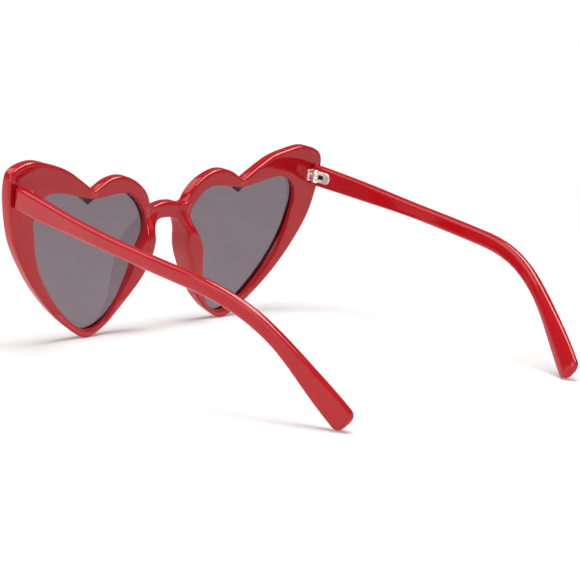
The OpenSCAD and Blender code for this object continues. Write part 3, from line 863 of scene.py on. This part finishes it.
masks = {"Flow": spread(marks, flow.outputs[0], 0.3, 0.7), "Ripple": ripple.outputs[0],
         "Scratches": spread(marks, hairs.outputs[0], 0.66, 0.72), "Edge": spread(marks, bent, 0.51, 0.58)}
for name, socket in masks.items():
    marks.links.new(socket, taken.inputs[name])
print("marks group:", len(marks.nodes), "nodes")

# %% [markdown]
# ## Red plastic
# The frame is a glossy, opaque red. A pale red base would look right from one side
# only, because the paler red that one sees is the white studio mirrored in the gloss,
# so the colour itself is deeper. Flow shifts it slightly, convex edges are a touch
# lighter, partly as wear and partly as a painted highlight, and a faint ripple breaks
# up the reflections as on a real moulding. The front's faces point inwards, so there
# its hollows are lighter in place of its edges.


# %% Start a finish
def finish(name, scales):
    """A new material with its shader and its own copy of the marks group's node."""
    material = bpy.data.materials.new(name)
    material.use_nodes = True
    tree = material.node_tree
    group = add(tree, "ShaderNodeGroup", node_tree=marks)
    for socket, value in zip(group.inputs, scales):
        socket.default_value = value
    return tree, tree.nodes["Principled BSDF"], group.outputs


def bump(tree, shader, height, strength, distance):
    """Lets a height move the shader's normals."""
    lift = add(tree, "ShaderNodeBump", {"Height": height, "Strength": strength, "Distance": distance})
    tree.links.new(lift.outputs[0], shader.inputs["Normal"])


def dulled(tree, mark, gloss_low, gloss_high, scratched):
    """Roughness: it follows the ripple, and scratches add to it."""
    rippled = spread(tree, mark["Ripple"], 0.3, 0.7, gloss_low, gloss_high)
    return arithmetic(tree, "ADD", rippled, spread(tree, mark["Scratches"], 0, 1, 0, scratched))


# %% Make the red plastic
# The third red is the paler colour of convex edges: partly wear and partly a painted highlight.
deep_red, warm_red, rubbed_and_highlit_red = (0.46, 0.0045, 0.0095, 1), (0.515, 0.0065, 0.013, 1), (0.72, 0.04, 0.055, 1)
rub_and_highlight = 0.6
tree, shader, mark = finish("glossy_red_plastic", (45.0, 330.0, 160.0))
flowed = blend_colours(tree, mark["Flow"], deep_red, warm_red)
# Paler along convex edges, partly wear and partly a painted highlight; on the inward-facing front it lands
# in the hollows.
rubbed_and_highlit = blend_colours(tree, spread(tree, mark["Edge"], 0, 1, 0, rub_and_highlight), flowed, rubbed_and_highlit_red)
tree.links.new(rubbed_and_highlit, shader.inputs["Base Color"])
tree.links.new(dulled(tree, mark, 0.05, 0.09, 0.12), shader.inputs["Roughness"])
shader.inputs["IOR"].default_value = 1.46
bump(tree, shader, mark["Ripple"], 0.12, 0.0001)
print("red plastic:", len(tree.nodes), "nodes")

# %% [markdown]
# ## Tinted lens
# The lens is clear plastic with a smoky mauve dye in it. A see-through paint would
# not bend light, so it is glass with a colour. Light crosses both faces, so each
# takes half of the tint. Fingers leave faint smears that only show in the roughness.

# %% Make the lens finish
thin_dye, thick_dye = (0.184, 0.141, 0.164, 1), (0.196, 0.152, 0.175, 1)
tree, shader, mark = finish("smoky_mauve_lens", (38.0, 90.0, 110.0))
dyed = blend_colours(tree, mark["Flow"], thin_dye, thick_dye)
tree.links.new(dyed, shader.inputs["Base Color"])
tree.links.new(spread(tree, mark["Scratches"], 0, 1, 0.015, 0.06), shader.inputs["Roughness"])
shader.inputs["Transmission Weight"].default_value = 1.0
shader.inputs["IOR"].default_value = 1.4
print("tinted lens:", len(tree.nodes), "nodes")

# %% [markdown]
# ## Hinge metal and screws
# The leaves are plated: cream silver, rubbed bright along the rims. The screws are a
# plainer, greyer steel. Both are the same kind of surface with other colours and
# another grain, so one function makes them.


# %% Make the two metals
def metal_finish(name, dark, light, bright, grain):
    """Metal whose colour flows from dark to light and is bright along rubbed edges."""
    tree, shader, mark = finish(name, (420.0, 2600.0, 900.0))
    plated = blend_colours(tree, mark["Flow"], dark, light)
    # On the metal the brighter edges are rubbed wear only.
    rubbed_and_highlit = blend_colours(tree, mark["Edge"], plated, bright)
    tree.links.new(rubbed_and_highlit, shader.inputs["Base Color"])
    tree.links.new(dulled(tree, mark, grain, grain + 0.1, 0.15), shader.inputs["Roughness"])
    shader.inputs["Metallic"].default_value = 1.0
    bump(tree, shader, mark["Ripple"], 0.2, 0.00003)
    print(name, "has", len(tree.nodes), "nodes")


metal_finish("plated_hinge_metal", (0.86, 0.83, 0.77, 1), (0.93, 0.89, 0.82, 1), (0.97, 0.92, 0.87, 1), 0.4)
metal_finish("turned_screw_metal", (0.56, 0.55, 0.52, 1), (0.68, 0.66, 0.62, 1), (0.9, 0.86, 0.82, 1), 0.2)

# %% [markdown]
# ## The slot's painted shade
# The deep slot's shade is painted on a sheet behind it. A plain black would
# look like a hole, so it is matt, a warm near-black that drifts a little.

# %% Make the painted slot shade
# Near-black colours of the painted shade behind the slot.
slot_shade_dark, slot_shade_light = (0.012, 0.01, 0.01, 1), (0.03, 0.022, 0.02, 1)
tree, shader, mark = finish("dark_polish_residue", (300.0, 1500.0, 700.0))
slot_shade_drift = blend_colours(tree, mark["Flow"], slot_shade_dark, slot_shade_light)
tree.links.new(slot_shade_drift, shader.inputs["Base Color"])
tree.links.new(spread(tree, mark["Ripple"], 0.3, 0.7, 0.6, 0.8), shader.inputs["Roughness"])
print("painted slot shade:", len(tree.nodes), "nodes")

# %% Dress the pieces
finishes = {
    "moulded": "glossy_red_plastic",
    "tinted": "smoky_mauve_lens",
    "temple_hinge": "plated_hinge_metal",
    "frame_hinge": "plated_hinge_metal",
    "hinge_screw": "turned_screw_metal",
    # The sheet behind the slot wears the painted shade.
    "slot_floor": "dark_polish_residue"}
for piece in bpy.context.scene.objects:
    for start, name in finishes.items():
        if piece.type == "MESH" and piece.name.startswith(start) and piece.name not in frame["nodes"]:
            piece.data.materials.clear()
            piece.data.materials.append(bpy.data.materials[name])
            print(piece.name, "wears", name)

# %% [markdown]
# ## The table
# The photograph was taken on a white table. More light would whiten the table and the
# part alike, so the table's own colour does it: it is pale where the part stands,
# keeps the part's shadow, and grows into plain white further out. That holds for the
# camera, for the gloss and through the lenses, and it lights nothing.

# %% Make the table
table_r, table_n = 30, 64
table_white, table_lift, glow_from, glow_to = (0.9, 0.9, 0.9, 1), 0.12, 0.16, 0.5
pure_white = (1, 1, 1, 1)
around = np.linspace(0, 2 * np.pi, table_n, endpoint=False)
disc = np.stack([table_r * np.cos(around), table_r * np.sin(around), 0 * around], -1)
table_mesh = bpy.data.meshes.new("table")
table_mesh.from_pydata(disc.tolist(), [], [list(range(table_n))])
table = bpy.data.objects.new("table", table_mesh)
bpy.context.scene.collection.objects.link(table)
white = bpy.data.materials.new("white_table")
white.use_nodes = True
tree = white.node_tree
shader = tree.nodes["Principled BSDF"]
shader.inputs["Base Color"].default_value = table_white
shader.inputs["Roughness"].default_value = 0.9
shader.inputs["Specular IOR Level"].default_value = 0.0
shader.inputs["Emission Color"].default_value = pure_white
rays = add(tree, "ShaderNodeLightPath").outputs
seen_or_mirrored = arithmetic(tree, "MAXIMUM", rays["Is Camera Ray"], rays["Is Glossy Ray"])
shown = arithmetic(tree, "MAXIMUM", seen_or_mirrored, rays["Is Transmission Ray"])
tree.links.new(arithmetic(tree, "MULTIPLY", shown, table_lift), shader.inputs["Emission Strength"])
centre = add(tree, "ShaderNodeTexCoord").outputs["Object"]
away = add(tree, "ShaderNodeVectorMath", {0: centre}, operation="LENGTH").outputs["Value"]
far = arithmetic(tree, "MULTIPLY", shown, spread(tree, away, glow_from, glow_to))
glow = add(tree, "ShaderNodeEmission", {"Color": pure_white, "Strength": 1.0})
whitened = add(tree, "ShaderNodeMixShader", {0: far, 1: shader.outputs[0], 2: glow.outputs[0]})
tree.links.new(whitened.outputs[0], tree.nodes["Material Output"].inputs[0])
table_mesh.materials.append(white)
print("table:", len(tree.nodes), "nodes")

# %% [markdown]
# ## The world
# The camera sees plain white, directly and through the lenses. The gloss mirrors
# something else: a pale horizon that darkens quickly above the table, as an unlit
# studio does. So faces that tilt up are a deep red, and faces that tilt down mirror
# the table and are paler, as in the photograph. Everything else gets an even light.

# %% Build the world
horizon_h, horizon_glow, room_glow, even_light, white_strength = 0.12, 0.9, 0.17, 0.27, 1.0
world = bpy.data.worlds.new("studio")
bpy.context.scene.world = world
world.use_nodes = True
tree = world.node_tree
tree.nodes.clear()
rays = add(tree, "ShaderNodeLightPath").outputs
seen = arithmetic(tree, "MAXIMUM", rays["Is Camera Ray"], rays["Is Transmission Ray"])
rising = add(tree, "ShaderNodeSeparateXYZ", {0: add(tree, "ShaderNodeTexCoord").outputs["Generated"]})
sweep = spread(tree, rising.outputs[2], 0.0, horizon_h, horizon_glow, room_glow)
mirrored = spread(tree, rays["Is Glossy Ray"], 0, 1, even_light, sweep)
strength = spread(tree, seen, 0, 1, mirrored, white_strength)
studio = add(tree, "ShaderNodeBackground", {"Color": pure_white, "Strength": strength})
add(tree, "ShaderNodeOutputWorld", {"Surface": studio.outputs[0]})
print("world:", len(tree.nodes), "nodes")

# %% [markdown]
# ## The lamps
# Real softboxes both light a thing and show in its gloss. Here the two are kept
# apart where it helps: two that only show in the gloss draw the highlights on the
# upper edges, and others only light the colours, so each can be set by itself.


# %% Light it
def softbox(name, place, width, depth, power, in_gloss, on_colours):
    """A rectangle of light that faces the part. It can show in the gloss, light the
    colours, or do both."""
    lamp = bpy.data.objects.new(name, bpy.data.lights.new(name, "AREA"))
    bpy.context.scene.collection.objects.link(lamp)
    lamp.data.shape = "RECTANGLE"
    lamp.data.size = width
    lamp.data.size_y = depth
    lamp.data.energy = power
    lamp.location = place
    lamp.rotation_euler = (-lamp.location).to_track_quat("-Z", "Y").to_euler()
    lamp.visible_glossy = in_gloss
    lamp.visible_diffuse = on_colours
    print(name, "at", tuple(round(c, 2) for c in lamp.location))


softbox("overhead_gloss", (-0.1, 0.12, 0.95), 1.3, 0.52, 17.0, True, False)
softbox("front_gloss", (0.4, -0.72, 0.9), 0.85, 0.68, 3.3, True, False)
softbox("overhead_light", (0.1, 0.15, 1.35), 0.8, 0.6, 14.5, False, True)
softbox("left_light", (1.5, -0.1, 0.5), 1.2, 0.9, 8.5, True, True)
softbox("right_light", (-1.5, 0.2, 0.5), 1.2, 0.9, 6.0, False, True)
bpy.context.scene.view_settings.view_transform = "Standard"

# %% [markdown]
# ## The last update
# The view layer is updated once more at the end. The dressed part has to stay in the
# imported model's box.

# %% Finish
bpy.context.view_layer.update()
